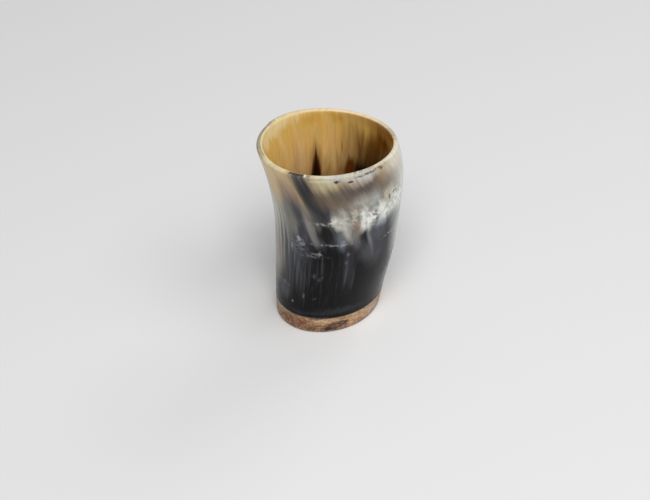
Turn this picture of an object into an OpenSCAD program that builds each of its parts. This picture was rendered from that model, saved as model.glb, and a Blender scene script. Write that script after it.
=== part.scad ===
// Horn beaker: a bowed oval tube of cattle horn, closed below by a wooden base
// that is glued in with a spigot, and sealed on the inside.
// Millimetres, +Z up. The origin is the middle of the face that the cup stands on.

/* [Cup] */
// Height of the rim above the table, as a mean round the mouth
cup_h = 110; // [92:1:132]
// Long way across the mouth, outside
mouth_long = 75; // [62:0.5:90]
// Short way across the mouth, outside
mouth_short = 67; // [56:0.5:81]
// Long way across the foot
foot_long = 60.5; // [50:0.5:73]
// Short way across the foot
foot_short = 50.5; // [42:0.5:61]
// Turn of the oval's long way from +X
oval_turn = 33; // [0:1:90]

/* [Horn] */
// Sideways bow of the horn's middle, towards +X
bow = 5; // [0:0.5:8]
// How far the mouth leans towards +Y
lean = 2; // [0:0.5:5]
// Wall at the lip
lip_wall = 2.9; // [2.4:0.1:4]
// Wall at the seat, where the horn is thicker
seat_wall = 4; // [3:0.1:5]
// How much thicker than the mean the lip is on its thick side
wall_drift = 0.4; // [0:0.1:0.8]
// Direction of the thick side from +X
thick_side = 205; // [0:5:360]
// Radius of the rounding on both edges of the lip
lip_round = 1.1; // [0.4:0.1:1.2]

/* [Rim] */
// Rise of the rim on its +X side, below zero for a fall
slant_x = -2.6; // [-5:0.1:5]
// Rise of the rim on its +Y side, below zero for a fall
slant_y = -2.9; // [-5:0.1:5]
// Height of the rim's saddle, up on two sides and down on the other two
saddle = 0.7; // [0:0.1:2]
// Direction of one high side of the saddle from +X
saddle_turn = -40; // [-90:5:90]

/* [Base] */
// Height of the wood that shows below the horn
foot_h = 11.5; // [8:0.5:15]
// Height of the spigot that stands in the horn
spigot_h = 6; // [4:0.5:10]
// Radius of the base's rounded lower edge
foot_round = 1.2; // [0.4:0.1:2]

/* [Joint] */
// Thickness of the glue under the horn and round the spigot
glue_t = 0.3; // [0.2:0.05:0.5]
// How far the glue lies back from the outside of the joint
glue_recess = 0.2; // [0:0.05:0.4]
// Thickness of the sealing coat on the cup's floor
seal_t = 1; // [0.6:0.1:2]
// Radius of the coat's fillet up the wall
seal_fillet = 3; // [1.5:0.5:5]

/* [Hidden] */

// Points round each section, and rings up each stretch of surface
around = 84;
outer_rings = 22;
inner_rings = 18;
round_steps = 4;

// Heights of the joint, from the shoulder that the horn stands on to the top of the seal
shoulder_z = foot_h;
horn_z = shoulder_z + glue_t;
seat_z = shoulder_z + spigot_h;
floor_z = seat_z + seal_t;
seal_z = floor_z + seal_fillet;

// The horn's form: share of the height, share of the way from the foot's size
// to the mouth's, and share of the bow
form = [
    [0, 0, 0],
    [0.13, 0.17, 0.21],
    [0.4, 0.51, 0.8],
    [0.66, 0.75, 1],
    [0.86, 0.98, 0.65],
    [1, 1, -0.16]
];
last = len(form) - 1;
SIZE = 1;
SIDEWAYS = 2;

// The lip's rounding leaves a narrow flat between its two edges, however thin the wall
lip_flat = 0.2;
lip_r = min(lip_round, (lip_wall - wall_drift - lip_flat) / 2);

function mix(a, b, t) = a + (b - a) * t;

// A smooth curve through the form's rows, straight past the last one
function rise(k, col) = (form[k + 1][col] - form[k][col]) / (form[k + 1][0] - form[k][0]);
function slope(k, col) =
    k == 0 ? rise(0, col) : k == last ? rise(last - 1, col) : (rise(k - 1, col) + rise(k, col)) / 2;
function span(t, k = 0) = k < last - 1 && t > form[k + 1][0] ? span(t, k + 1) : k;
function through(k, s, col) =
    let (w = form[k + 1][0] - form[k][0])
    (2 * s ^ 3 - 3 * s ^ 2 + 1) * form[k][col] + (s ^ 3 - 2 * s ^ 2 + s) * w * slope(k, col)
    + (3 * s ^ 2 - 2 * s ^ 3) * form[k + 1][col] + (s ^ 3 - s ^ 2) * w * slope(k + 1, col);
function curve(t, col) =
    t > 1 ? form[last][col] + (t - 1) * slope(last, col)
    : let (k = span(t)) through(k, (t - form[k][0]) / (form[k + 1][0] - form[k][0]), col);

// A point of the oval section at height z, in the direction of step i, drawn in by inset
function angle(i) = 360 * i / around;
function oval(z, i, inset = 0) =
    let (
        t = z / cup_h,
        a = mix(foot_long, mouth_long, curve(t, SIZE)) / 2 - inset,
        b = mix(foot_short, mouth_short, curve(t, SIZE)) / 2 - inset,
        u = a * cos(angle(i)),
        v = b * sin(angle(i))
    )
    [
        bow * curve(t, SIDEWAYS) + u * cos(oval_turn) - v * sin(oval_turn),
        lean * t ^ 3 + u * sin(oval_turn) + v * cos(oval_turn),
        z
    ];

// The rim's height and the wall's thickness, by direction
function bearing(i) = angle(i) + oval_turn;
function rim_z(i) =
    cup_h + slant_x * cos(bearing(i)) + slant_y * sin(bearing(i))
    + saddle * cos(2 * (bearing(i) - saddle_turn));
function wall(z, i) =
    let (t = z / cup_h) mix(seat_wall, lip_wall, t) + wall_drift * t * cos(bearing(i) - thick_side);

// Whole rings: at one height, at a share of the way up to the rim, and down from the rim
function steps() = [for (i = [0 : around - 1]) i];
function flat_ring(z, inset = 0) = [for (i = steps()) oval(z, i, inset)];
function inner_ring(z, inset = 0) = [for (i = steps()) oval(z, i, wall(z, i) + inset)];
function outer_up(share) = [for (i = steps()) oval(mix(horn_z, rim_z(i) - lip_r, share), i)];
function inner_up(share) =
    [for (i = steps()) let (z = mix(seal_z, rim_z(i) - lip_r, share)) oval(z, i, wall(z, i))];
function at_height(ring, z) = [for (p = ring) [p[0], p[1], z]];

// The lip's section, from its outer edge over the top to its inner edge
function lip_outer(q) =
    [for (i = steps()) oval(rim_z(i) - lip_r * (1 - sin(q)), i, lip_r * (1 - cos(q)))];
function lip_inner(q) =
    [for (i = steps())
        let (z = rim_z(i) - lip_r * (1 - sin(q))) oval(z, i, wall(z, i) - lip_r * (1 - cos(q)))];

// The seat is cut straight down into the horn, and the spigot fits it with glue all round
function seat_ring(z, inset = 0) = at_height(inner_ring(seat_z, inset), z);

function joined(rings) = [for (ring = rings) each ring];

// The triangles between one ring and the next, for a surface that faces away from the middle
// as the rings rise. Both leave the same diagonals on a wall that two solids share.
function rising_band(k) =
    [for (i = steps())
        let (j = (i + 1) % around, a = k * around, b = a + around)
        each [[a + i, b + i, a + j], [b + i, b + j, a + j]]];
function closing_band(k, next) =
    [for (i = steps())
        let (j = (i + 1) % around, a = k * around, b = next * around)
        each [[a + i, b + i, b + j], [a + i, b + j, a + j]]];

// A solid skinned over its rings, with a flat cap on the first and the last
module capped(rings) {
    n = len(rings);
    sides = [for (k = [0 : n - 2]) each rising_band(k)];
    bottom = [for (i = steps()) i];
    top = [for (i = steps()) n * around - 1 - i];
    polyhedron(joined(rings), concat(sides, [bottom, top]), convexity = 6);
}

// A hollow solid skinned over its rings, where the last ring meets the first again
module hollow(rings) {
    n = len(rings);
    polyhedron(joined(rings), [for (k = [0 : n - 1]) each closing_band(k, (k + 1) % n)], convexity = 8);
}

module horn_wall() {
    outside = [for (k = [0 : outer_rings]) outer_up(k / outer_rings)];
    lip = concat(
        [for (k = [1 : round_steps]) lip_outer(90 * k / round_steps)],
        [for (k = [round_steps : -1 : 1]) lip_inner(90 * k / round_steps)]
    );
    inside = [for (k = [inner_rings : -1 : 0]) inner_up(k / inner_rings)];
    color([0.25, 0.23, 0.22])
        hollow(concat(outside, lip, inside, [seat_ring(seat_z), seat_ring(horn_z)]));
}

module wooden_base() {
    foot_rings = 5;
    edge = [for (k = [0 : round_steps])
        let (q = 90 * k / round_steps) flat_ring(foot_round * (1 - cos(q)), foot_round * (1 - sin(q)))];
    side = [for (k = [1 : foot_rings]) flat_ring(mix(foot_round, shoulder_z, k / foot_rings))];
    color([0.66, 0.48, 0.33])
        union() {
            capped(concat(edge, side));
            translate([0, 0, foot_h / 2])
                linear_extrude(height = seat_z - foot_h / 2)
                    polygon([for (p = seat_ring(0, glue_t)) [p[0], p[1]]]);
        }
}

module glue_line() {
    color([0.2, 0.13, 0.08])
        hollow([
            flat_ring(shoulder_z, glue_recess),
            flat_ring(horn_z, glue_recess),
            seat_ring(horn_z),
            seat_ring(seat_z),
            seat_ring(seat_z, glue_t),
            seat_ring(shoulder_z, glue_t)
        ]);
}

module floor_seal() {
    fillet = [for (k = [0 : round_steps])
        let (q = 90 * k / round_steps)
        inner_ring(seal_z - seal_fillet * sin(q), seal_fillet * (1 - cos(q)))];
    color([0.55, 0.38, 0.2])
        capped(concat([seat_ring(seat_z)], fillet));
}

horn_wall();
wooden_base();
glue_line();
floor_seal();
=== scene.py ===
import math
import bpy
import numpy as np
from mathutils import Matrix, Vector


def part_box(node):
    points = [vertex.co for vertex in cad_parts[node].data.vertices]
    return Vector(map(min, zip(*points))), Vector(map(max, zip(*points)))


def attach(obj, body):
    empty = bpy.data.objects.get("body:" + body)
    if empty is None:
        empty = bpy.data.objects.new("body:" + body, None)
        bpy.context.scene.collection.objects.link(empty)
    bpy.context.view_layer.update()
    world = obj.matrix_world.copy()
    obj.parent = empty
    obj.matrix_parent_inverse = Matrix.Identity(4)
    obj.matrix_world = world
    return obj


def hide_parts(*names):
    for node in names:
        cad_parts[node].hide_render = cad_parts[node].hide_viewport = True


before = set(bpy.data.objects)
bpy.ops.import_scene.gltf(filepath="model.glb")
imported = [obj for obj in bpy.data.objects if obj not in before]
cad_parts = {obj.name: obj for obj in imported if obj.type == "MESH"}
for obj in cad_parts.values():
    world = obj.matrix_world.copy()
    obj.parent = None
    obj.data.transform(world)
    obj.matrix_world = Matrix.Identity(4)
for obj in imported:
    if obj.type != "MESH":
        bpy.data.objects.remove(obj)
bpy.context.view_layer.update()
print("frame loaded")

# Camera: looks down at the cup from its front
view = {
    "azimuth": 0,  # degrees, 0 looks along +Y
    "elevation": 40,  # degrees above the floor
    "distance": 0.9,
    "lens": 91.9,
    "turnsAbout": (0, 0, 0.055),  # middle of the cup
    "aim": (-0.0018, -0.0087, 0.0446),  # a little below the middle, so the cup stands high in the picture
}


def addCamera():
    tilt, side = math.radians(view["elevation"]), math.radians(view["azimuth"])
    away = Vector((-math.sin(side) * math.cos(tilt), -math.cos(side) * math.cos(tilt), math.sin(tilt)))
    place = Vector(view["turnsAbout"]) + away * view["distance"]
    data = bpy.data.cameras.new("camera")
    data.lens = view["lens"]
    camera = bpy.data.objects.new("camera", data)
    camera.location = place
    camera.rotation_euler = (Vector(view["aim"]) - place).to_track_quat("-Z", "Y").to_euler()
    bpy.context.scene.collection.objects.link(camera)
    bpy.context.scene.camera = camera


addCamera()
print("camera placed")

# The cup's form, in metres
cup = {
    "height": 0.110,  # mean height of the rim
    "mouthLong": 0.075, "mouthShort": 0.067,
    "footLong": 0.0605, "footShort": 0.0505,
    "ovalTurn": 33,  # degrees from +X
    "bow": 0.005, "lean": 0.002,
    "lipWall": 0.0029, "seatWall": 0.004,
    "wallDrift": 0.0004, "thickSide": 205,
    "slantX": -0.0026, "slantY": -0.0029,
    "saddle": 0.0007, "saddleTurn": -40,
    "around": 288,  # points round each section
}
# Share of the height, share of the way from the foot's size to the mouth's, share of the bow
formMarks = np.array([
    (0, 0, 0), (0.13, 0.17, 0.21), (0.4, 0.51, 0.8), (0.66, 0.75, 1), (0.86, 0.98, 0.65), (1, 1, -0.16),
])
turns = np.arange(cup["around"]) * 2 * np.pi / cup["around"]
bearings = turns + math.radians(cup["ovalTurn"])  # direction from +X of each point
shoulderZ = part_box("glue_line")[0].z  # the wood's shoulder
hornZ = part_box("horn_wall")[0].z  # the horn's lower end
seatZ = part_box("glue_line")[1].z  # top of the spigot
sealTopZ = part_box("floor_seal")[1].z


def alongMarks(t, column):
    # a cubic through the marks whose slope at each is the mean of its two neighbours', straight past the last
    x, y = formMarks[:, 0], formMarks[:, column]
    step, rise = np.diff(x), np.diff(y) / np.diff(x)
    slope = np.concatenate(([rise[0]], (rise[:-1] + rise[1:]) / 2, [rise[-1]]))
    k = np.clip(np.searchsorted(x, t, side="left") - 1, 0, len(x) - 2)
    s = (t - x[k]) / step[k]
    inside = ((2 * s**3 - 3 * s**2 + 1) * y[k] + (s**3 - 2 * s**2 + s) * step[k] * slope[k]
              + (3 * s**2 - 2 * s**3) * y[k + 1] + (s**3 - s**2) * step[k] * slope[k + 1])
    return np.where(t > 1, y[-1] + (t - 1) * slope[-1], inside)


def ovalAt(z, inset):
    # an ellipse drawn in by inset, turned, then shifted by the bow, and by the lean times the height cubed
    t, size = z / cup["height"], alongMarks(z / cup["height"], 1)
    longHalf = (cup["footLong"] + (cup["mouthLong"] - cup["footLong"]) * size) / 2 - inset
    shortHalf = (cup["footShort"] + (cup["mouthShort"] - cup["footShort"]) * size) / 2 - inset
    u, v, turn = longHalf * np.cos(turns), shortHalf * np.sin(turns), math.radians(cup["ovalTurn"])
    return np.stack([cup["bow"] * alongMarks(t, 2) + u * math.cos(turn) - v * math.sin(turn),
                     cup["lean"] * t**3 + u * math.sin(turn) + v * math.cos(turn), z + 0 * u], axis=-1)


def rimHeight():
    # the mean height, a slant as the cosine of the bearing, and a saddle as the cosine of twice the bearing
    saddle = cup["saddle"] * np.cos(2 * (bearings - math.radians(cup["saddleTurn"])))
    return cup["height"] + cup["slantX"] * np.cos(bearings) + cup["slantY"] * np.sin(bearings) + saddle


def wallAt(z):
    # thick at the seat and thin at the lip, and a little thicker on one side towards the lip
    t = z / cup["height"]
    drift = cup["wallDrift"] * t * np.cos(bearings - math.radians(cup["thickSide"]))
    return cup["seatWall"] + (cup["lipWall"] - cup["seatWall"]) * t + drift


def window(bearing, start, end, soft):
    # 1 between two bearings in degrees and 0 outside them, with smooth steps soft degrees wide
    middle, half = (start + end) / 2, (end - start) / 2
    away = np.abs((np.degrees(bearing) - middle + 180) % 360 - 180)
    s = np.clip((half + soft / 2 - away) / soft, 0, 1)
    return s * s * (3 - 2 * s)


def ripple(z, depth, seed, waves=7):
    # a hand-worked surface: a sum of sines of bearing and height, with whole waves round the cup, that goes
    # inwards by at most depth
    rng = np.random.default_rng(seed)
    total = 0
    for _ in range(waves):
        wavesRound, wavesUp, start = rng.integers(1, 7), rng.uniform(-90, 90), rng.uniform(0, 6.28)
        total = total + np.sin(wavesRound * bearings + wavesUp * z + start)
    return depth * (0.5 - 0.5 * total / waves)


def roundOver(radius, rows):
    # a quarter circle from a wall to a level face: its depth below the face and its distance in from the wall
    quarter = np.linspace(0, np.pi / 2, rows)[:, None]
    return radius * (1 - np.sin(quarter)), radius * (1 - np.cos(quarter))


def buildPiece(name, rows, values=None, closed=False, caps=False):
    # a skin of quads over rows of points; closed joins the last row to the first, caps fills both end rows
    count, around = rows.shape[:2]
    k = np.arange(count if closed else count - 1)[:, None]
    i = np.arange(around)[None, :]
    j, up = (i + 1) % around, (k + 1) % count
    quads = np.stack([k * around + i, k * around + j, up * around + j, up * around + i], axis=-1)
    faces = quads.reshape(-1, 4).tolist()
    if caps:
        faces += [list(range(around))[::-1], list(range((count - 1) * around, count * around))]
    mesh = bpy.data.meshes.new(name)
    mesh.from_pydata(rows.reshape(-1, 3), [], faces)
    mesh.polygons.foreach_set("use_smooth", np.ones(len(mesh.polygons), bool))
    mesh.set_sharp_from_angle(angle=math.radians(50))  # so the lip stays smooth and the seat's corners sharp
    for key, value in (values or {}).items():
        kind, part = ("FLOAT_VECTOR", "vector") if value.ndim == 3 else ("FLOAT", "value")
        layer = mesh.attributes.new(key, kind, "POINT")
        layer.data.foreach_set(part, np.ascontiguousarray(value, np.float32).ravel())
    piece = bpy.data.objects.new(name, mesh)
    bpy.context.scene.collection.objects.link(piece)
    return piece


def placeValues(z, twist):
    # place: cosine and sine of the bearing, and the height. grain: the same round a straight horn, turned by
    # the twist of its fibres, so a streak is a line of equal X and Y
    straight = 0.033  # radius of that straight horn
    flat = np.zeros_like(z)
    turned = bearings + twist + flat
    place = np.stack([np.cos(bearings) + flat, np.sin(bearings) + flat, z], axis=-1)
    grain = np.stack([straight * np.cos(turned), straight * np.sin(turned), z], axis=-1)
    return {"place": place, "grain": grain}


# The horn tube
hornShape = {
    "lipRound": 0.0011,
    "lipWaves": 5, "lipWave": 0.0002,  # waves of that rounding along the lip, and their height
    "lipFlat": 0.0009,  # extra rounding where the lip's outer edge is worn flat
    "lipSharp": 0.0004,  # less rounding at the inner edge there
    "flatFrom": -208, "flatTo": -152, "flatSoft": 5,  # bearings of that stretch, and how softly it ends
    "carve": 0.00016, "carveSeed": 4,  # depth of the scraper's ripples
    "twist": 0.35, "twistInside": 0.27,  # degrees that the fibres turn in a millimetre
    "twistFrom": 0.058,  # the fibres run straight below this height
    "outerRows": 110, "lipRows": 9, "innerRows": 84,
}


def makeHorn():
    # a profile carried round the oval: up the outside, over the lip, down the inside, down the straight seat
    rim = rimHeight()
    flat = window(bearings, hornShape["flatFrom"], hornShape["flatTo"], hornShape["flatSoft"])
    wave = hornShape["lipWave"] * np.sin(hornShape["lipWaves"] * bearings)
    lipOut = hornShape["lipRound"] + hornShape["lipFlat"] * flat + wave
    lipIn = hornShape["lipRound"] - hornShape["lipSharp"] * flat
    share = np.linspace(0, 1, hornShape["outerRows"])[:, None]
    outZ = hornZ + (rim - lipOut - hornZ) * share
    upDrop, upInset = roundOver(lipOut, hornShape["lipRows"])
    downDrop, downRound = roundOver(lipIn, hornShape["lipRows"])
    upZ, downZ = rim - upDrop, (rim - downDrop)[::-1]
    downInset = wallAt(downZ) - downRound[::-1]
    inShare = np.linspace(1, 0, hornShape["innerRows"])[:, None]
    inZ = sealTopZ + (rim - lipIn - sealTopZ) * inShare
    seat = np.broadcast_to(np.array([[seatZ], [seatZ]]), (2, cup["around"]))
    z = np.concatenate([outZ, upZ[1:], downZ[:-1], inZ, seat])
    inset = np.concatenate([0 * outZ, upInset[1:], downInset[:-1], wallAt(inZ), wallAt(seat)])
    # ripples fade out at the lip and at the seat, where the horn meets the wood
    lipStart, lipEnd = len(outZ), len(outZ) + 2 * hornShape["lipRows"] - 2
    carved = np.zeros_like(z)
    carved[:lipStart] = np.sin(np.pi * np.clip(share, 0, 1)) ** 0.5
    inset = inset + carved * ripple(z, hornShape["carve"], hornShape["carveSeed"])
    points = ovalAt(z, inset)
    points[-1, :, 2] = hornZ
    # across: 0 on the outside wall, 1 on the inside wall, and the share of the way over the lip between them
    across = np.zeros_like(z)
    across[lipStart:lipEnd] = np.linspace(0, 1, lipEnd - lipStart)[:, None]
    across[lipEnd:] = 1
    rise = np.maximum(0, z - hornShape["twistFrom"]) * 1000
    twist = hornShape["twist"] + (hornShape["twistInside"] - hornShape["twist"]) * across
    values = placeValues(z, np.radians(twist * rise))
    values["across"] = across
    return buildPiece("hornShell", points, values, closed=True)


# The wooden base
woodShape = {
    "footRound": 0.0012,
    "topRound": 0.0003,  # broken upper edge
    "sanded": 0.00012, "sandSeed": 9,  # depth of the sanding's waves
    "glue": 0.0003,
    "roundRows": 8, "sideRows": 24,
}


def makeBase():
    # a profile from the foot's rounded edge up the side, over the shoulder and up the spigot
    foot, top = woodShape["footRound"], woodShape["topRound"]
    footDrop, footInset = roundOver(foot, woodShape["roundRows"])
    topDrop, topInset = roundOver(top, woodShape["roundRows"])
    sideZ = np.linspace(foot, shoulderZ - top, woodShape["sideRows"])[1:, None]
    z = np.concatenate([footDrop[::-1], sideZ, shoulderZ - topDrop[1:]]) + 0 * bearings
    inset = np.concatenate([footInset[::-1], 0 * sideZ, topInset[1:]]) + 0 * bearings
    sanding = ripple(z, woodShape["sanded"], woodShape["sandSeed"])
    inset = inset + sanding * np.sin(np.pi * z / shoulderZ)
    spigotZ = seatZ + 0 * bearings
    spigot = ovalAt(spigotZ, wallAt(spigotZ) + woodShape["glue"])
    low = spigot.copy()
    low[:, 2] = shoulderZ
    points = np.concatenate([ovalAt(z, inset), low[None], spigot[None]])
    return buildPiece("baseDisc", points, placeValues(points[:, :, 2], 0), caps=True)


# The glue between the horn and the wood
glueShape = {
    "half": 0.00034, "ragged": 0.0002,  # half of the bead's thickness, and how much that varies
    "waves": 9, "seed": 21,
    "proud": 0.00008,  # how far the bead stands out past the horn
    "sunk": 0.0001,  # how far inside the horn's face the bead ends
    "beadRows": 7,
}


def makeGlue():
    # an L-shaped ring: a bead under the horn's edge that stands a hair proud, which is half a circle with a
    # sum of sines of the bearing in its thickness, and a sleeve round the spigot
    rng = np.random.default_rng(glueShape["seed"])
    ragged = 0
    for _ in range(glueShape["waves"]):
        ragged = ragged + np.sin(rng.integers(3, 40) * bearings + rng.uniform(0, 6.28))
    half = glueShape["half"] + glueShape["ragged"] * ragged / glueShape["waves"]
    arc = np.linspace(-np.pi / 2, np.pi / 2, glueShape["beadRows"])[:, None]
    beadInset = glueShape["sunk"] - (glueShape["proud"] + glueShape["sunk"]) * np.cos(arc)
    bead = ovalAt((shoulderZ + hornZ) / 2 + half * np.sin(arc), beadInset + 0 * bearings)
    spigotZ = seatZ + 0 * bearings
    wall = wallAt(spigotZ)
    horn, wood = ovalAt(spigotZ, wall), ovalAt(spigotZ, wall + woodShape["glue"])
    hornLow, woodLow = horn.copy(), wood.copy()
    hornLow[:, 2], woodLow[:, 2] = hornZ, shoulderZ
    points = np.concatenate([bead, hornLow[None], horn[None], wood[None], woodLow[None]])
    return buildPiece("glueRing", points, placeValues(points[:, :, 2], 0), closed=True)


# The coat that seals the cup's floor
sealShape = {
    "thickness": 0.001, "fillet": 0.003,
    "dip": 0.00015,  # how far the floor dips between its edge and its middle
    "filletRows": 9, "rings": 14,
    "hub": 0.04,  # size of the innermost ring, as a share of the floor
}


def makeSeal():
    # a disc on the spigot whose top curves up the wall in a quarter circle, and dips as the square of a sine
    # between its edge and its middle
    fillet, floorZ = sealShape["fillet"], seatZ + sealShape["thickness"]
    drop, inset = roundOver(fillet, sealShape["filletRows"])
    curveZ = sealTopZ - fillet + drop + 0 * bearings
    skin = ovalAt(curveZ, wallAt(curveZ) + inset)
    centre = skin[-1].mean(axis=0)
    share = np.linspace(1, sealShape["hub"], sealShape["rings"])[1:, None, None]
    disc = centre + (skin[-1] - centre) * share
    disc[:, :, 2] = floorZ - sealShape["dip"] * np.sin(np.pi * share[:, :, 0]) ** 2
    spigotZ = seatZ + 0 * bearings
    points = np.concatenate([ovalAt(spigotZ, wallAt(spigotZ))[None], skin, disc])
    return buildPiece("sealCoat", points, placeValues(points[:, :, 2], 0), caps=True)


hornShell = makeHorn()
baseDisc = makeBase()
glueRing = makeGlue()
sealCoat = makeSeal()
print("pieces built")


# Node helpers: most add to a node tree and give back the socket that holds the result
def feed(tree, socket, value):
    # links a socket, or sets a plain value
    if isinstance(value, bpy.types.NodeSocket):
        tree.links.new(value, socket)
    else:
        socket.default_value = value


def addNode(tree, kind, inputs=None, **settings):
    # gives back all of the node's outputs
    node = tree.nodes.new("ShaderNode" + kind)
    for key, value in settings.items():
        setattr(node, key, value)
    for key, value in (inputs or {}).items():
        feed(tree, node.inputs[key], value)
    return node.outputs


def maths(tree, operation, *values):
    return addNode(tree, "Math", dict(enumerate(values)), operation=operation)[0]


def product(tree, *values):
    # all the values multiplied together
    total = values[0]
    for value in values[1:]:
        total = maths(tree, "MULTIPLY", total, value)
    return total


def vary(tree, base, value, amount):
    # base plus amount times how far a value between 0 and 1 is past one half
    return maths(tree, "MULTIPLY_ADD", maths(tree, "SUBTRACT", value, 0.5), amount, base)


def fade(tree, value, low, high, start=0.0, end=1.0):
    # goes smoothly from start to end as a value goes from low to high
    inputs = {0: value, 1: low, 2: high, 3: start, 4: end}
    return addNode(tree, "MapRange", inputs, interpolation_type="SMOOTHSTEP")[0]


def colour(code):
    # a colour written as on a screen, such as B8925A, in the light values that shaders use
    parts = [int(code[k:k + 2], 16) / 255 for k in (0, 2, 4)]
    return tuple(p / 12.92 if p <= 0.04045 else ((p + 0.055) / 1.055) ** 2.4 for p in parts) + (1,)


def blend(tree, amount, under, over, mode="MIX"):
    # lays one colour over another by an amount from 0 to 1
    inputs = {0: amount, 6: under, 7: over}
    return addNode(tree, "Mix", inputs, data_type="RGBA", blend_type=mode, clamp_factor=True)[2]


def shaded(tree, skin, factor):
    # a colour times a number
    return addNode(tree, "VectorMath", {0: skin, "Scale": factor}, operation="SCALE")[0]


def ramp(tree, amount, stops):
    # stops are pairs of a position and a colour's code
    node = tree.nodes.new("ShaderNodeValToRGB")
    feed(tree, node.inputs[0], amount)
    node.color_ramp.interpolation = "EASE"
    marks = node.color_ramp.elements
    for k, (position, code) in enumerate(stops):
        mark = marks[k] if k < 2 else marks.new(position)
        mark.position = position
        mark.color = colour(code)
    return node.outputs[0]


def addNoise(tree, vector, scale, detail, roughness=0.5):
    # cloudy noise between 0 and 1, with scale clouds in a metre
    inputs = {"Vector": vector, "Scale": scale, "Detail": detail, "Roughness": roughness}
    return addNode(tree, "TexNoise", inputs)[0]


def readValue(tree, name, part="Vector"):
    # a value that the mesh holds at its points
    return addNode(tree, "Attribute", attribute_name=name, attribute_type="GEOMETRY")[part]


def findPlace(tree, vector):
    # the bearing in degrees and the height in mm of a place vector
    x, y, z = addNode(tree, "SeparateXYZ", {0: vector})
    around = maths(tree, "MULTIPLY", maths(tree, "ARCTAN2", y, x), 180 / math.pi)
    return around, maths(tree, "MULTIPLY", z, 1000.0)


def newGroup(name, inputs, outputs):
    # an input has its default number, or None where it is a vector; the outputs are numbers
    tree = bpy.data.node_groups.new(name, "ShaderNodeTree")
    for label, default in inputs.items():
        kind = "NodeSocketVector" if default is None else "NodeSocketFloat"
        socket = tree.interface.new_socket(label, in_out="INPUT", socket_type=kind)
        if default is not None:
            socket.default_value = default
    for label in outputs:
        tree.interface.new_socket(label, in_out="OUTPUT", socket_type="NodeSocketFloat")
    return tree, tree.nodes.new("NodeGroupInput").outputs, tree.nodes.new("NodeGroupOutput").inputs


def useGroup(tree, group, inputs):
    node = tree.nodes.new("ShaderNodeGroup")
    node.node_tree = group
    for key, value in inputs.items():
        feed(tree, node.inputs[key], value)
    return node.outputs


# Effects that any material can use
def makeStreaks():
    # noise drawn out along the grain at three widths: broad bands, strands, and hairs
    tree, given, result = newGroup("streaks", {"Grain": None, "Stretch": 12.0}, ["Broad", "Strand", "Hair"])
    x, y, z = addNode(tree, "SeparateXYZ", {0: given["Grain"]})
    drawn = addNode(tree, "CombineXYZ", {0: x, 1: y, 2: maths(tree, "DIVIDE", z, given["Stretch"])})[0]
    for label, scale, detail in (("Broad", 130, 2), ("Strand", 420, 3), ("Hair", 1500, 2)):
        feed(tree, result[label], fade(tree, addNoise(tree, drawn, scale, detail, 0.55), 0.28, 0.72))
    return tree


def makePatch():
    # a soft patch at a bearing and a height: the distance from its middle in half widths and half lengths,
    # made ragged by a noise; it can lean with the grain, and taper towards one end
    tree, given, result = newGroup("patch", {
        "Around": 0.0, "Up": 0.0, "Noise": 0.5, "Bearing": 0.0, "Height": 50.0, "Half Width": 10.0,
        "Half Length": 10.0, "Lean": 0.0, "Taper": 0.0, "Soft": 0.5, "Ragged": 0.5, "Strength": 1.0,
    }, ["Mask"])
    down = maths(tree, "SUBTRACT", given["Height"], given["Up"])
    across = maths(tree, "WRAP", maths(tree, "SUBTRACT", given["Around"], given["Bearing"]), 180.0, -180.0)
    across = maths(tree, "SUBTRACT", across, maths(tree, "MULTIPLY", given["Lean"], down))
    down = maths(tree, "DIVIDE", down, given["Half Length"])
    wide = maths(tree, "MAXIMUM", maths(tree, "MULTIPLY_ADD", given["Taper"], down, 1.0), 0.05)
    across = maths(tree, "DIVIDE", across, maths(tree, "MULTIPLY", given["Half Width"], wide))
    square = maths(tree, "MULTIPLY_ADD", across, across, maths(tree, "MULTIPLY", down, down))
    distance = vary(tree, maths(tree, "SQRT", square), given["Noise"], given["Ragged"])
    full, gone = maths(tree, "SUBTRACT", 1.0, given["Soft"]), maths(tree, "ADD", 1.0, given["Soft"])
    feed(tree, result["Mask"], product(tree, fade(tree, distance, full, gone, 1.0, 0.0), given["Strength"]))
    return tree


def makeHandling():
    # the marks of use and polish: fine crossed scratches and soft cloudy dulling, for roughness and for bump
    tree, given, result = newGroup("handling", {"Vector": None, "Amount": 1.0}, ["Dull", "Scratch"])
    total = 0.0
    for turn, squeeze in ((0.35, (40, 900, 300)), (-0.5, (900, 60, 260)), (0.1, (700, 700, 30))):
        inputs = {"Vector": given["Vector"], "Rotation": (turn, turn * 0.7, turn), "Scale": squeeze}
        line = fade(tree, addNoise(tree, addNode(tree, "Mapping", inputs)[0], 2.0, 2.0), 0.66, 0.74)
        total = maths(tree, "MAXIMUM", total, line)
    cloud = fade(tree, addNoise(tree, given["Vector"], 90.0, 4.0), 0.35, 0.7)
    feed(tree, result["Scratch"], product(tree, total, given["Amount"]))
    feed(tree, result["Dull"], product(tree, cloud, given["Amount"]))
    return tree


def makeFlecks():
    # small separate flecks: near a cell's own point, kept in only a share of the cells
    tree, given, result = newGroup("flecks", {"Vector": None, "Scale": 300.0, "Size": 0.2, "Share": 0.2},
                                   ["Mask"])
    cells = addNode(tree, "TexVoronoi", {"Vector": given["Vector"], "Scale": given["Scale"]})
    core = maths(tree, "MULTIPLY", given["Size"], 0.4)
    near = fade(tree, cells["Distance"], core, given["Size"], 1.0, 0.0)
    chance = addNode(tree, "SeparateColor", {0: cells["Color"]})[0]
    feed(tree, result["Mask"], product(tree, near, maths(tree, "LESS_THAN", chance, given["Share"])))
    return tree


streaks, patch, handling, flecks = makeStreaks(), makePatch(), makeHandling(), makeFlecks()


def newMaterial(name):
    material = bpy.data.materials.new(name)
    material.use_nodes = True
    return material, material.node_tree, material.node_tree.nodes["Principled BSDF"]


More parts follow.
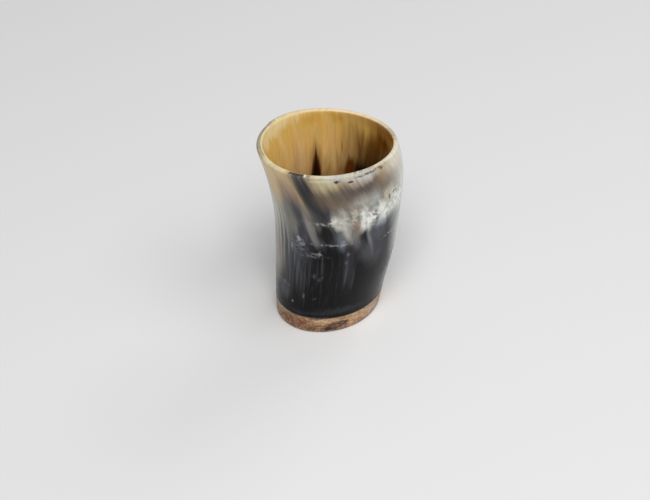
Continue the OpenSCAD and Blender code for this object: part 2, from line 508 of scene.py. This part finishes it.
def addPatch(tree, spot, noise, bearing, height, wide, long, extra):
    values = {"Around": spot[0], "Up": spot[1], "Noise": noise, "Bearing": bearing, "Height": height,
              "Half Width": wide, "Half Length": long, **extra}
    return useGroup(tree, patch, values)[0]


def paintPatches(tree, under, spot, noise, patches):
    # lays each patch over what is already there, in the order of the list; the patches include stains,
    # painted reflections and painted highlights
    for code, *rest in patches:
        under = blend(tree, addPatch(tree, spot, noise, *rest), under, colour(code))
    return under


def wearAt(tree, paint, where):
    # the handling marks of a paint's strength, and the roughness that they leave
    worn = useGroup(tree, handling, {"Vector": where, "Amount": paint["worn"]})
    return worn, maths(tree, "MULTIPLY_ADD", worn["Dull"], paint["dulled"], paint["rough"])


def finishSurface(tree, shader, paint, skin, rough, height):
    # gives the shader its colour and its roughness, and a bump from the height
    inputs = {"Height": height, "Strength": paint["bump"], "Distance": paint["bumpDepth"]}
    feed(tree, shader.inputs["Base Color"], skin)
    feed(tree, shader.inputs["Roughness"], rough)
    feed(tree, shader.inputs["Normal"], addNode(tree, "Bump", inputs)[0])


# The horn's paint. A patch is a colour, a bearing in degrees, a height in mm, half a width in degrees, half
# a length in mm, and what differs from the patch group's defaults. Most are stains; a few are painted
# reflections and painted highlights
soft, faint = {"Soft": 0.8, "Ragged": 0.25}, {"Soft": 0.8, "Strength": 0.6}
thin, torn = {"Soft": 0.8, "Ragged": 0.2}, {"Ragged": 1.3}
beads, pale = {"Soft": 0.8, "Ragged": 2.0, "Strength": 0.6}, {"Soft": 0.9, "Strength": 0.4}
smooth = {"Strength": 0.8, "Ragged": 0.0}
hornPaint = {
    "stretch": 14.0,  # how many times longer than wide a streak is
    "sway": 0.05,  # radians that a stain's edge wanders sideways
    "shove": 0.0014,  # metres that its ends run up and down the strands
    "rampTop": 114,  # height in mm where both ramps end
    "rampDrift": 0.1,  # how far up and down the ramps wander, as a share of that height
    # shares of that height, and the colour at each
    "outside": [(0.0, "0B0B0C"), (0.3, "0D0D0E"), (0.44, "151517"), (0.53, "28282C"), (0.6, "3C3C40"),
                (0.68, "565658"), (0.76, "6C6A68"), (0.84, "80786E"), (0.92, "A08C70"), (1.0, "C4B08A")],
    "inside": [(0.0, "140E08"), (0.26, "241810"), (0.4, "40301A"), (0.5, "6E5030"), (0.58, "A27C4A"),
               (0.66, "C6A068"), (0.78, "DDB36C"), (0.9, "DFB560"), (0.96, "E4BE72"), (1.0, "E4C996")],
    "outsideStainsAndReflections": [
        # pale and tan horn on the left, as seen from the front; the two greys at the left edge are pale horn
        # and a painted reflection of the room
        ("C8C4BA", -165, 82, 25, 36, soft),
        ("9C968A", -164, 50, 12, 18, soft),
        ("E0C69C", -148, 108, 22, 9, soft),
        ("D6BA90", -145, 99, 15, 9, soft),
        ("A8937A", -131, 98, 6, 8, soft),
        ("93826E", -121, 96, 3.4, 10, {"Lean": 0.45, "Soft": 0.9, "Strength": 0.8}),
        ("7E7A74", -129, 84, 7, 12, {"Lean": 0.3}),
        ("4A4A50", -121, 86, 5, 10, {"Lean": 0.35, **soft}),
        ("46464C", -119, 73, 5, 5, torn),
        # the dark streak that comes down from the lip, and the pale one left of it
        ("56504E", -109, 107, 7, 10, {"Lean": 0.3, "Soft": 0.9, "Ragged": 0.8}),
        ("38363A", -106, 99, 6, 10, {"Lean": 0.4, "Soft": 0.6}),
        ("303134", -101.5, 96, 8, 9, {"Lean": 0.3, "Soft": 0.7}),
        ("38383C", -98.5, 88, 7.5, 7, soft),
        ("9A9690", -110, 77, 3.8, 8.5, {"Lean": 0.45, "Soft": 0.8, "Strength": 0.85}),
        ("807E7C", -106.5, 71.5, 3.4, 7, {"Lean": 0.45, "Soft": 0.8}),
        ("0E0E10", -95, 58, 15, 9, {"Soft": 0.6}),
        ("1A191B", -97, 75, 7.5, 6.5, {"Soft": 0.5}),
        ("5A5A64", -127, 58, 9, 6, {"Ragged": 1.6, **faint}),
        # cream and brown bands below the front of the lip
        ("BEB08A", -89, 107, 9, 5, soft),
        ("6E6052", -86, 99, 14, 6, soft),
        ("6A5C58", -74, 101, 8, 4, faint),
        ("5E5650", -58, 102, 22, 4.6, soft),
        ("BEBFBA", -57, 109, 12, 3, soft),
        ("BCBAB0", -78, 110.8, 13, 1.6, soft),
        ("9A8A7C", -64, 106, 8, 2, faint),
        ("84705A", -38, 102, 9, 4, soft),
        ("6E5A50", -40, 99, 9, 3, faint),
        # pale horn near the lip on the right, and a painted reflection of the bright room along the right
        # edge
        ("DAD2C2", -14, 107, 18, 7, soft),
        ("8E887E", -29, 98.5, 12, 4.5, faint),
        ("CECEC8", -12, 88, 14, 14, soft),
        ("DEDED8", 4, 84, 14, 28, soft),
        # the pearly belt
        ("A8A49A", -82, 86, 7, 6, {"Ragged": 0.8, "Soft": 0.6}),
        ("C8C5BA", -86, 83, 3.6, 4.5, {"Ragged": 1.0, "Soft": 0.6}),
        ("BAB6B0", -78, 79, 5, 9, {"Lean": 0.2, "Soft": 0.6}),
        ("94877C", -70, 83, 5, 10, {"Lean": 0.1, "Soft": 0.6}),
        ("A8A8A0", -61, 91, 10, 6, soft),
        ("F0F1EC", -60.5, 81, 6, 7, {"Ragged": 0.8, "Soft": 0.7}),
        ("9EA09C", -51, 90, 5, 8, soft),
        ("AEB2B6", -46, 76, 6, 4, {"Ragged": 1.2, "Soft": 0.6}),
        ("E4E6E2", -43, 83.5, 6.5, 5.5, {"Ragged": 1.0, "Soft": 0.6}),
        ("CCC6B2", -35, 90, 9, 5, soft),
        ("DEDDD4", -28, 83, 9, 7, {"Ragged": 0.8, "Soft": 0.6}),
        ("F0F0EA", -18, 80, 8, 7, {"Ragged": 0.8, "Soft": 0.6}),
        # the belt's streaked lower end
        ("52545C", -48, 69.5, 7, 5, soft),
        ("6E6C6C", -31, 73, 5, 4, faint),
        ("222326", -62.5, 69.5, 4.6, 4.6, {"Soft": 0.45, "Ragged": 0.3}),
        ("747A84", -83.5, 69, 3.4, 5, {"Ragged": 1.2, "Lean": 0.2, "Soft": 0.8, "Strength": 0.7}),
        ("807C78", -72.5, 72, 3.2, 6.5, {"Lean": 0.4, "Soft": 0.7}),
        ("56565E", -69, 66, 4, 4, faint),
        ("8C8C90", -56.5, 66, 2.2, 9, {"Lean": 0.45, "Soft": 0.8, "Strength": 0.7}),
        ("5A5B60", -58, 59, 7, 6, faint),
        ("54545A", -48, 55, 9, 8, faint),
        # the right side below the belt: a painted reflection of the bright room, grey and white along the
        # right edge
        ("A4A6A8", -16, 64, 12, 16, soft),
        ("F4F4F2", 5, 60, 17, 28, soft),
        ("6C6C6E", -6, 30, 13, 18, soft),
        # strands in the dark part
        ("3A3A3E", -126, 46, 11, 14, {"Ragged": 1.8, **faint}),
        ("5C5C5E", -153, 60, 1.2, 13, {"Soft": 0.9, "Ragged": 0.6, "Strength": 0.7}),
        ("4C4C50", -147, 64, 1.5, 15, {"Soft": 0.9, "Ragged": 0.6, "Strength": 0.8}),
        ("404044", -141, 60, 1.8, 16, {"Soft": 0.9, "Ragged": 0.6, "Strength": 0.9}),
        ("8A8A88", -137.5, 64, 1.2, 9, {"Soft": 0.9, "Ragged": 0.6, "Strength": 0.7}),
        ("52545A", -135.5, 47, 1.5, 13, thin),
        ("64666A", -128, 53, 1.0, 6, {"Soft": 0.9, "Ragged": 0.8, "Strength": 0.8}),
        ("5E6064", -124, 50, 1.2, 5, {"Soft": 0.9, "Ragged": 0.8, "Strength": 0.8}),
        ("44464C", -131, 40, 0.9, 12, thin),
        ("484A50", -125, 46, 1.0, 11, thin),
        ("38383C", -121.5, 43, 1.5, 9, thin),
        ("3A3A3E", -117.5, 42, 1.0, 12, thin),
        ("323236", -112.5, 46, 0.9, 9, thin),
        ("303034", -104.5, 48, 0.8, 10, thin),
        ("38383C", -99, 53, 0.8, 6, thin),
        ("3A3A40", -76, 50, 4, 13, {"Ragged": 1.8, **faint}),
        ("44464C", -77, 47, 1.2, 9, thin),
        ("36363A", -70, 42, 1.4, 8, thin),
        ("4C4D54", -143, 27, 8, 6, {"Soft": 0.6, "Strength": 0.8}),
        ("34373C", -76, 17, 20, 2.2, faint),
        # the back
        ("4A4038", 45, 70, 22, 22, soft),
        ("2E2926", 112, 70, 9, 18, {"Lean": 0.3, "Soft": 0.5}),
        ("38322C", 78, 64, 14, 12, soft),
        ("B89A6E", 148, 98, 22, 16, soft),
        ("C2B08C", 60, 104, 30, 6, soft),
    ],
    "outsideMarksAndHighlights": [
        ("7E6250", -70, 84, 2.6, 8, {"Ragged": 1.8, "Soft": 0.8, "Strength": 0.5}),
        # near-white spots on the pearly belt: pale pearly horn with painted highlights on its lumps
        ("F0EEE4", -72, 86, 2.4, 3, {"Ragged": 1.8, "Soft": 0.7, "Strength": 0.35}),
        ("F4F3EC", -90.5, 83.6, 2.0, 2.0, {"Ragged": 1.0, "Soft": 0.8, "Strength": 0.8}),
        ("F6F6F4", -57, 82, 4, 3.2, {"Ragged": 1.4, "Soft": 0.8, "Strength": 0.9}),
        ("F2F4F1", -45, 85.5, 3.8, 3.0, {"Ragged": 0.6, "Soft": 0.8, "Strength": 0.85}),
        ("F6F6F4", -20, 82, 2.6, 4, {"Ragged": 1.4, "Soft": 0.8, "Strength": 0.7}),
        ("4A3C30", -36, 88.5, 1.2, 1.6, {"Ragged": 0.8, "Soft": 0.8, "Strength": 0.8}),
        ("54443A", -30, 90.5, 2.4, 0.7, {"Ragged": 0.8, "Soft": 0.8, "Strength": 0.7}),
        ("B4B4BC", -123.5, 68.6, 1.6, 1.5, {"Ragged": 1.2, "Soft": 0.9, "Strength": 0.8}),
        ("9A9AA4", -120.5, 66.4, 1.8, 1.2, {"Ragged": 1.2, "Soft": 0.9, "Strength": 0.8}),
        ("80848A", -124, 65, 5, 4, {"Ragged": 2.0, "Soft": 0.9, "Strength": 0.4}),
        ("8E9296", -132, 62, 1.4, 2.6, {"Ragged": 1.4, "Soft": 0.9, "Strength": 0.6}),
        ("A8A29A", -98, 82.3, 10, 0.7, beads),
        ("8C909C", -91, 67.6, 12, 0.6, beads),
        ("A4A6B0", -82, 68.2, 2.4, 1.2, {"Ragged": 1.4, "Soft": 0.9, "Strength": 0.7}),
        ("A4A29E", -103, 61.2, 1.5, 1.2, {"Ragged": 1.2, "Soft": 0.9, "Strength": 0.8}),
        ("5A5A5E", -107, 44, 1.4, 1.2, {"Ragged": 1.0, "Soft": 0.9, "Strength": 0.5}),
        ("54545A", -101, 42, 1.6, 1.0, {"Ragged": 1.0, "Soft": 0.9, "Strength": 0.5}),
        ("5A5A5E", -104, 27, 1.6, 1.0, {"Ragged": 0.6, "Lean": -1.0, "Soft": 0.9, "Strength": 0.3}),
        ("808080", -108, 60.4, 4, 0.7, beads),
        ("6A6A70", -112, 58.6, 9, 0.6, beads),
        ("9A9CA2", -30, 62.8, 7, 0.7, beads),
        ("A8A8AA", -25, 75, 1.4, 4.5, {"Ragged": 0.4, "Lean": -1.2, "Soft": 0.9, "Strength": 0.7}),
        ("75757C", -77, 60, 1.2, 1.2, {"Ragged": 1.0, "Soft": 0.9, "Strength": 0.7}),
        ("626268", -78, 54, 1.2, 1.2, {"Ragged": 1.0, "Soft": 0.9, "Strength": 0.7}),
        ("6E6E74", -146, 31.5, 7, 0.6, beads),
        ("5E5E64", -116.5, 27.5, 1.0, 1.6, {"Soft": 0.9, "Strength": 0.8}),
        ("7A7A80", -129.5, 21, 0.9, 0.9, thin),
        ("404448", -99, 15, 12, 1.0, {"Soft": 0.9, "Strength": 0.35}),
        ("2C343E", -121, 14.2, 7, 1.4, {"Soft": 0.9, "Strength": 0.6}),
        ("382A24", -99, 12.2, 7, 0.6, {"Soft": 0.7, "Ragged": 1.6}),
        ("D8D4B4", -93, 110.8, 8, 0.8, faint),
        ("46281E", -79, 109.8, 2.3, 0.7, {"Soft": 0.7, "Ragged": 0.6}),
        ("46281E", -68.5, 108.5, 2.3, 0.65, {"Soft": 0.7, "Ragged": 0.6}),
        ("5C4438", -50, 109.7, 11, 0.5, {"Soft": 0.8, "Ragged": 1.4, "Strength": 0.8}),
        ("4E4640", -38, 108.6, 3, 0.5, {"Soft": 0.8, "Ragged": 0.8, "Strength": 0.8}),
    ],
    "insideStains": [
        ("B88644", 38, 102, 20, 5, soft),
        ("6E3E0C", 43, 91.5, 12, 6.5, soft),
        ("7A5018", 54, 87, 12, 7.5, soft),
        ("5E3E1C", 60, 79, 11, 8, soft),
        ("6A4C24", 76, 80, 14, 14, {"Soft": 0.8, "Strength": 0.55}),
        ("4E3416", 42, 74, 22, 12, soft),
        ("1A0E06", 66, 69, 18, 7, soft),
        ("7E5A2E", 71, 89, 5, 8, faint),
        ("5A2E0C", 81, 71, 4.5, 8, {"Taper": 0.5, "Soft": 0.5}),
        ("5A3A18", 70.5, 84, 0.8, 7, {"Soft": 0.9, "Ragged": 0.2, "Strength": 0.6}),
        ("8A5C24", 88.5, 84, 0.7, 2.6, thin),
        ("A0743E", 94, 73, 1.4, 8, faint),
        ("C88A34", 86, 102.5, 5, 3, faint),
        ("D0A044", 112, 104, 7, 3, faint),
        ("E6C488", 97, 97, 1.6, 14, pale),
        ("EECE96", 149, 100, 3, 13, pale),
        ("DEBC84", 128, 93, 2.5, 16, pale),
        ("D2AE84", 131, 80, 2.5, 9, pale),
        ("D2AA6C", 66, 104, 18, 3, faint),
        ("C8AE84", 36, 105, 16, 2.4, faint),
        ("8C8468", 50, 106, 20, 0.8, beads),
        ("F6DCA6", 158, 111, 34, 5, {"Ragged": 2.4, "Soft": 0.6, "Strength": 0.85}),
        # the near side
        ("3A2A1C", -108, 98, 9, 16, {"Lean": 0.3, "Soft": 0.5}),
        ("8A6A40", -60, 92, 30, 16, soft),
    ],
    "insideMarks": [
        ("8E6430", 115, 78, 7, 11, {"Lean": 0.15, "Taper": 0.6, "Soft": 0.8, "Strength": 0.6}),
        ("3E1C06", 116, 71, 5.6, 14, {"Lean": 0.15, "Taper": 0.8, "Soft": 0.5, "Ragged": 0.3}),
        ("1E0C02", 116.5, 65, 5.6, 12, {"Lean": 0.15, "Taper": 0.7, "Soft": 0.6, "Ragged": 0.3}),
    ],
    # where each of these comes in and goes out, as shares of the way over the lip from the outside
    "lip": "D2C19A", "lipIn": (0.1, 0.5), "lipOut": (0.75, 0.98),
    # the crest colour is a painted highlight along the lip's inner edge
    "crestHighlight": "EAD9B0", "highlightIn": (0.5, 0.66), "highlightOut": (0.96, 0.84),
    # the edge colour is a painted shadow along the lip's outer edge
    "edge": "857C66", "edgeIn": (0.02, 0.15), "edgeOut": (0.45, 0.2),
    "highlightPart": (-160, 110, 50, 60, smooth),  # the stretch of lip with a painted highlight along its crest
    "edgePart": (165, 110, 42, 60, smooth),  # the stretch with a painted shadow along the lip's outer edge
    "lipStains": [
        ("A1977C", 180, 110, 32, 60, {"Soft": 0.4}),
        ("C8C09C", -136, 110, 13, 60, {"Soft": 0.4}),
        ("463C3C", -109, 110, 8, 60, {"Soft": 0.6, "Ragged": 1.0}),
        ("E6D8BC", -104.5, 110, 1.2, 40, {"Soft": 0.4}),
        ("CAC8BC", -84, 110, 14, 40, soft),
        ("BCBAB4", -58, 110, 18, 40, soft),
        ("7E7068", -50, 110, 8, 40, {"Ragged": 2.4, "Strength": 0.6}),
        ("D4CCBC", -20, 110, 22, 40, soft),
        ("A89C90", 22, 110, 15, 40, {"Ragged": 1.6, "Soft": 0.6}),
        ("E2CBAA", 70, 110, 40, 40, soft),
    ],
    "hairs": 0.3, "hairColour": "484A4E", "hairyPart": (-118, 44, 32, 26, soft),
    "lumps": 2.2, "lumpScale": 330.0, "beltPart": (-54, 85, 38, 8, soft),
    "gritScale": 620.0,  # fineness of the ragged edges of the marks
    "specks": 0.5, "speckColour": "8C8C92", "speckPlaces": {"Scale": 190.0, "Size": 0.11, "Share": 0.12},
    "shade": 0.2, "shadeInside": -0.08,  # depth of the fine hairs outside, and what is added inside
    "warm": "FFFCFA", "cool": "FAFDFB", "driftScale": 110.0,
    "rough": 0.16, "dulled": 0.1, "hairRough": 0.06, "worn": 1.0,  # roughness, and what wear and hairs add
    "bump": 0.25, "bumpDepth": 0.0002,
    "bends": 1.2,  # index of refraction, low for a soft polish
}


def paintOutside(tree, horn):
    # a ramp of height under stains and painted reflections along both side edges, with short pale hairs over
    # the dark part, small lumps in the pearly belt, then the marks with painted highlights in the belt, and a
    # few specks
    spot, grain, broad = horn["spot"], horn["grain"], horn["broad"]
    skin = paintPatches(tree, ramp(tree, horn["level"], hornPaint["outside"]), spot, horn["ends"],
                       hornPaint["outsideStainsAndReflections"])
    darkPart = addPatch(tree, spot, broad, *hornPaint["hairyPart"])
    hairs = product(tree, fade(tree, horn["hair"], 0.5, 0.9), fade(tree, horn["strand"], 0.4, 0.8), darkPart)
    skin = blend(tree, product(tree, hairs, hornPaint["hairs"]), skin, colour(hornPaint["hairColour"]))
    belt = addPatch(tree, spot, broad, *hornPaint["beltPart"])
    lump = addNoise(tree, grain, hornPaint["lumpScale"], 2.0)
    skin = shaded(tree, skin, vary(tree, 1.0, lump, product(tree, belt, hornPaint["lumps"])))
    grit = fade(tree, addNoise(tree, grain, hornPaint["gritScale"], 2.0), 0.3, 0.7)
    skin = paintPatches(tree, skin, horn["still"], grit, hornPaint["outsideMarksAndHighlights"])
    specks = useGroup(tree, flecks, {"Vector": grain, **hornPaint["speckPlaces"]})[0]
    return blend(tree, product(tree, specks, hornPaint["specks"]), skin, colour(hornPaint["speckColour"]))


def paintInside(tree, horn):
    # a ramp of height under stains, then the dark flame
    skin = ramp(tree, horn["level"], hornPaint["inside"])
    skin = paintPatches(tree, skin, horn["spot"], horn["ends"], hornPaint["insideStains"])
    return paintPatches(tree, skin, horn["still"], horn["strand"], hornPaint["insideMarks"])


def paintLip(tree, horn):
    # one colour under stains, with a painted highlight along the crest over a part of it
    across, spot = horn["across"], horn["spot"]
    skin = paintPatches(tree, colour(hornPaint["lip"]), spot, horn["strand"], hornPaint["lipStains"])
    # the painted highlight along the crest, over a stretch on the left
    part = addPatch(tree, spot, horn["broad"], *hornPaint["highlightPart"])
    comes, goes = fade(tree, across, *hornPaint["highlightIn"]), fade(tree, across, *hornPaint["highlightOut"])
    return blend(tree, product(tree, comes, goes, part), skin, colour(hornPaint["crestHighlight"]))


def readHorn(tree):
    # where a point of the horn is, and the streaks there. A mark keeps still, but a stain wanders sideways
    # with the broad bands, and its ends run up and down the strands
    place, grain = readValue(tree, "place"), readValue(tree, "grain")
    broad, strand, hair = useGroup(tree, streaks, {"Grain": grain, "Stretch": hornPaint["stretch"]})
    inputs = {"Vector": place, "Angle": vary(tree, 0.0, broad, hornPaint["sway"])}
    swayed = addNode(tree, "VectorRotate", inputs, rotation_type="Z_AXIS")[0]
    shove = addNode(tree, "CombineXYZ", {2: vary(tree, 0.0, strand, hornPaint["shove"])})[0]
    spot = findPlace(tree, addNode(tree, "VectorMath", {0: swayed, 1: shove}, operation="ADD")[0])
    level = maths(tree, "DIVIDE", spot[1], hornPaint["rampTop"])
    return {
        "grain": grain, "broad": broad, "strand": strand, "hair": hair, "spot": spot,
        "still": findPlace(tree, place), "across": readValue(tree, "across", "Fac"),
        "level": vary(tree, level, broad, hornPaint["rampDrift"]),
        "ends": maths(tree, "MULTIPLY_ADD", strand, 0.55, maths(tree, "MULTIPLY", broad, 0.45)),
    }


def makeHornMaterial():
    # the outside, the lip and the inside are mixed by the across value. Fine light and dark hairs run through
    # every colour, and the colour drifts between warm and cool
    material, tree, shader = newMaterial("polishedHorn")
    horn = readHorn(tree)
    across, strand, hair = horn["across"], horn["strand"], horn["hair"]
    overLip = fade(tree, across, *hornPaint["lipIn"])
    skin = blend(tree, overLip, paintOutside(tree, horn), paintLip(tree, horn))
    # a painted shadow along the lip's outer edge, over a stretch on the left
    part = addPatch(tree, horn["spot"], horn["broad"], *hornPaint["edgePart"])
    comes, goes = fade(tree, across, *hornPaint["edgeIn"]), fade(tree, across, *hornPaint["edgeOut"])
    skin = blend(tree, product(tree, comes, goes, part), skin, colour(hornPaint["edge"]))
    skin = blend(tree, fade(tree, across, *hornPaint["lipOut"]), skin, paintInside(tree, horn))
    mixed = maths(tree, "ADD", maths(tree, "MULTIPLY", strand, 0.55), maths(tree, "MULTIPLY", hair, 0.45))
    depth = maths(tree, "MULTIPLY_ADD", across, hornPaint["shadeInside"], hornPaint["shade"])
    skin = shaded(tree, skin, vary(tree, 1.0, fade(tree, mixed, 0.15, 0.85), depth))
    drift = fade(tree, addNoise(tree, horn["grain"], hornPaint["driftScale"], 3.0), 0.38, 0.62)
    tint = blend(tree, drift, colour(hornPaint["warm"]), colour(hornPaint["cool"]))
    skin = blend(tree, 1.0, skin, tint, "MULTIPLY")
    worn, rough = wearAt(tree, hornPaint, addNode(tree, "TexCoord")["Object"])
    rough = maths(tree, "MULTIPLY_ADD", hair, hornPaint["hairRough"], rough)
    relief = maths(tree, "MULTIPLY_ADD", strand, 0.5, maths(tree, "MULTIPLY", hair, 0.3))
    relief = maths(tree, "SUBTRACT", relief, maths(tree, "MULTIPLY", worn["Scratch"], 0.3))
    finishSurface(tree, shader, hornPaint, skin, rough, relief)
    shader.inputs["IOR"].default_value = hornPaint["bends"]
    return material


woodPaint = {
    "grain": [(0.34, "62402A"), (0.44, "8A6140"), (0.52, "AE8560"), (0.64, "D2B290")],
    "tilt": (0.1, 0.3, 0.0), "flatten": (1.0, 1.0, 4.0),  # how the growth layers lie, and how thin they are
    "wander": 0.006, "wanderScale": 90.0,  # metres that the layers bend
    "figureScale": 170.0, "poreScale": 900.0, "mottleScale": 560.0,
    "mottled": (0.7, 1.3),  # how dark and how light the mottle makes the colour
    "patches": [
        ("8A5A3A", -122, 5, 14, 4, {"Ragged": 1.6, **faint}),
        ("6A4026", -140, 6, 10, 2.6, {"Ragged": 1.6, **faint}),
        ("74503A", -136, 6, 30, 7, {"Ragged": 1.0, "Soft": 0.8, "Strength": 0.45}),
        ("5E3A24", -105, 2.8, 11, 1.0, {"Ragged": 1.8, "Lean": -2.0, **faint}),
        ("6E4226", -118, 6.4, 8, 0.8, {"Ragged": 1.8, "Lean": -3.0, **faint}),
        ("A8998A", -160, 9, 14, 3, {"Ragged": 1.2, **faint}),
        ("D9B78E", -90, 9, 14, 2, {"Ragged": 1.2, **faint}),
        ("D2AC80", -52, 7, 18, 4, {"Ragged": 1.2, **faint}),
        ("C8B8A8", -30, 7, 10, 6, {"Ragged": 1.0, **faint}),
        # the knot
        ("6A4838", -79, 4.4, 13, 3.2, {"Lean": -1.4, "Ragged": 1.2, "Soft": 0.6}),
        ("5A3C32", -77, 4.8, 8.5, 2.5, {"Lean": -1.6, "Ragged": 0.8, "Soft": 0.4}),
        ("7E5E4C", -77, 4.7, 5, 1.0, {"Lean": -2.4, "Ragged": 0.8, "Soft": 0.6}),
        ("341E1E", -86.5, 2.8, 3.6, 1.5, {"Ragged": 0.8, "Soft": 0.5}),
        ("3A2422", -70.5, 6.0, 4.2, 1.5, {"Ragged": 0.8, "Soft": 0.5}),
        ("8C6A54", -71, 6.0, 2.2, 0.6, {"Ragged": 0.4, "Soft": 0.6}),
        # dark places under the joint
        ("4A2E22", -99, 11.2, 8, 1.2, {"Ragged": 1.6, "Soft": 0.5}),
        ("4A3226", -126, 11.2, 7, 0.9, {"Ragged": 1.6, "Soft": 0.5}),
    ],
    # a colour, the heights in mm between which it comes or goes, and its strength at each
    "bands": [
        ("DEBE9C", 11.2, 13.2, 0.0, 0.5),  # sanded upper edge
        ("3A281E", 12.4, 12.9, 0.0, 0.8),  # joint
        ("3A281C", 1.4, 3.2, 0.75, 0.0),  # foot
    ],
    "raggedBands": 3.0,  # mm that the bands' edges wander
    "pores": "4A3122", "poreLevels": (0.36, 0.28, 0.0, 0.6),
    "rough": 0.5, "dulled": 0.15, "worn": 0.6, "bump": 0.4, "bumpDepth": 0.0003, "shine": 0.3,
}


def makeWoodMaterial():
    # growth layers that lie nearly level, tilt a little and wander, mixed with a mottle, under stains; then
    # the bands of the two edges, and the pores
    material, tree, shader = newMaterial("oiledWood")
    spot, where = findPlace(tree, readValue(tree, "place")), addNode(tree, "TexCoord")["Object"]
    inputs = {"Vector": where, "Scale": woodPaint["wanderScale"], "Detail": 2.0}
    inputs = {0: addNode(tree, "TexNoise", inputs)["Color"], 1: (woodPaint["wander"],) * 3, 2: where}
    bent = addNode(tree, "VectorMath", inputs, operation="MULTIPLY_ADD")[0]
    inputs = {"Vector": bent, "Rotation": woodPaint["tilt"], "Scale": woodPaint["flatten"]}
    layers = addNode(tree, "Mapping", inputs)[0]
    figure = addNoise(tree, layers, woodPaint["figureScale"], 4.0, 0.6)
    pores = addNoise(tree, layers, woodPaint["poreScale"], 2.0)
    mottle = addNoise(tree, where, woodPaint["mottleScale"], 4.0, 0.75)
    body = maths(tree, "MULTIPLY_ADD", figure, 0.45, maths(tree, "MULTIPLY", mottle, 0.55))
    skin = paintPatches(tree, ramp(tree, body, woodPaint["grain"]), spot, mottle, woodPaint["patches"])
    skin = shaded(tree, skin, fade(tree, mottle, 0.32, 0.68, *woodPaint["mottled"]))
    ragged = maths(tree, "MULTIPLY_ADD", mottle, woodPaint["raggedBands"], spot[1])
    for code, *levels in woodPaint["bands"]:
        skin = blend(tree, fade(tree, ragged, *levels), skin, colour(code))
    skin = blend(tree, fade(tree, pores, *woodPaint["poreLevels"]), skin, colour(woodPaint["pores"]))
    rough = wearAt(tree, woodPaint, where)[1]
    finishSurface(tree, shader, woodPaint, skin, rough, body)
    shader.inputs["Specular IOR Level"].default_value = woodPaint["shine"]
    return material


gluePaint = {
    "dark": "1E1511", "light": "4A3222", "cloudScale": 400.0,
    "spots": "7A5638", "spotPlaces": {"Scale": 900.0, "Size": 0.5, "Share": 0.3},
    "rough": 0.3, "dulled": 0.2, "worn": 0.8, "bump": 0.3, "bumpDepth": 0.0002,
}


def makeGlueMaterial():
    # a cloud between two browns with pale spots
    material, tree, shader = newMaterial("darkGlue")
    where = addNode(tree, "TexCoord")["Object"]
    spots = useGroup(tree, flecks, {"Vector": where, **gluePaint["spotPlaces"]})[0]
    cloud = addNoise(tree, where, gluePaint["cloudScale"], 3.0)
    skin = blend(tree, cloud, colour(gluePaint["dark"]), colour(gluePaint["light"]))
    skin = blend(tree, spots, skin, colour(gluePaint["spots"]))
    rough = wearAt(tree, gluePaint, where)[1]
    finishSurface(tree, shader, gluePaint, skin, rough, cloud)
    return material


sealPaint = {
    "coat": [(0.3, "3A2410"), (0.7, "6E4A22")], "cloudScale": 120.0,
    "specks": "2A180A", "speckPlaces": {"Scale": 500.0, "Size": 0.25, "Share": 0.12},
    "rough": 0.12, "dulled": 0.15, "worn": 0.5, "bump": 0.15, "bumpDepth": 0.0004,
}


def makeSealMaterial():
    # a cloud between two ambers with dark specks
    material, tree, shader = newMaterial("amberCoat")
    where = addNode(tree, "TexCoord")["Object"]
    cloud = addNoise(tree, where, sealPaint["cloudScale"], 4.0)
    specks = useGroup(tree, flecks, {"Vector": where, **sealPaint["speckPlaces"]})[0]
    skin = blend(tree, specks, ramp(tree, cloud, sealPaint["coat"]), colour(sealPaint["specks"]))
    rough = wearAt(tree, sealPaint, where)[1]
    finishSurface(tree, shader, sealPaint, skin, rough, cloud)
    return material


def dress(piece, material, node):
    piece.data.materials.append(material)
    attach(piece, "root")
    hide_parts(node)


dress(hornShell, makeHornMaterial(), "horn_wall")
dress(baseDisc, makeWoodMaterial(), "wooden_base")
dress(glueRing, makeGlueMaterial(), "glue_line")
dress(sealCoat, makeSealMaterial(), "floor_seal")
print("materials made")

studio = {
    "floorTone": 0.72, "floorRough": 0.7, "floorShine": 0.2,
    "floorSize": 8,
    "roomStrength": 0.198,
    "panelSize": 1.0, "panelDistance": 2.0,
    # azimuth from +X and elevation in degrees, and power in watts
    "panels": {"front": (-90, 60, 29.5), "right": (-25, 60, 10.2), "back": (50, 35, 7.5)},
}


def makeFloor():
    size = studio["floorSize"] / 2
    mesh = bpy.data.meshes.new("floor")
    corners = [(-size, -size, 0), (size, -size, 0), (size, size, 0), (-size, size, 0)]
    mesh.from_pydata(corners, [], [(0, 1, 2, 3)])
    floor = bpy.data.objects.new("floor", mesh)
    bpy.context.scene.collection.objects.link(floor)
    material, tree, shader = newMaterial("paleFloor")
    shader.inputs["Base Color"].default_value = (studio["floorTone"],) * 3 + (1,)
    shader.inputs["Roughness"].default_value = studio["floorRough"]
    shader.inputs["Specular IOR Level"].default_value = studio["floorShine"]
    mesh.materials.append(material)


def lightRoom():
    # an even room, and square panels at a bearing and a height, each turned to the cup's middle
    world = bpy.data.worlds.new("room")
    world.use_nodes = True
    world.node_tree.nodes["Background"].inputs[0].default_value = (1, 1, 1, 1)
    world.node_tree.nodes["Background"].inputs[1].default_value = studio["roomStrength"]
    bpy.context.scene.world = world
    middle = Vector(view["turnsAbout"])
    for name, (azimuth, elevation, power) in studio["panels"].items():
        turn, rise = math.radians(azimuth), math.radians(elevation)
        flat = math.cos(rise)
        away = Vector((math.cos(turn) * flat, math.sin(turn) * flat, math.sin(rise)))
        data = bpy.data.lights.new(name, "AREA")
        data.size = studio["panelSize"]
        data.energy = power
        light = bpy.data.objects.new(name, data)
        light.location = middle + away * studio["panelDistance"]
        light.rotation_euler = (-away).to_track_quat("-Z", "Y").to_euler()
        bpy.context.scene.collection.objects.link(light)


bpy.context.scene.view_settings.view_transform = "Standard"
makeFloor()
lightRoom()
print("studio lit")
